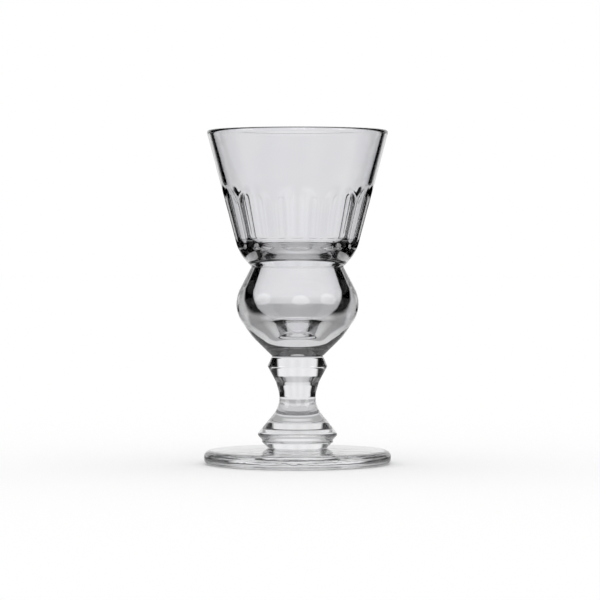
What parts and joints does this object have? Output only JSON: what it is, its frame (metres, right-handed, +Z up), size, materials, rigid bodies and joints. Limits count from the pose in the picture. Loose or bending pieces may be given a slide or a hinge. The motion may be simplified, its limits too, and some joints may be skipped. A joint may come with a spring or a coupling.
{
  "type": "shot glass",
  "caption": "Clear stemmed shot glass with a flared, fluted bowl, a round reservoir under it, a knopped stem and a disc foot.",
  "frame": {"origin": "centre of the resting plane of the foot", "axes": "+Z up along the axis of the glass; -Y is the side that faces the camera, square to one flute"},
  "size_m": [0.056, 0.056, 0.1],
  "materials": {
    "bowl_glass": "clear, fire-polished",
    "stem_glass": "clear, fire-polished",
    "foot_glass": "clear, fire-polished"
  },
  "bodies": {
    "root": {"bowl": "bowl_glass", "stem": "stem_glass", "foot": "foot_glass"}
  },
  "joints": []
}
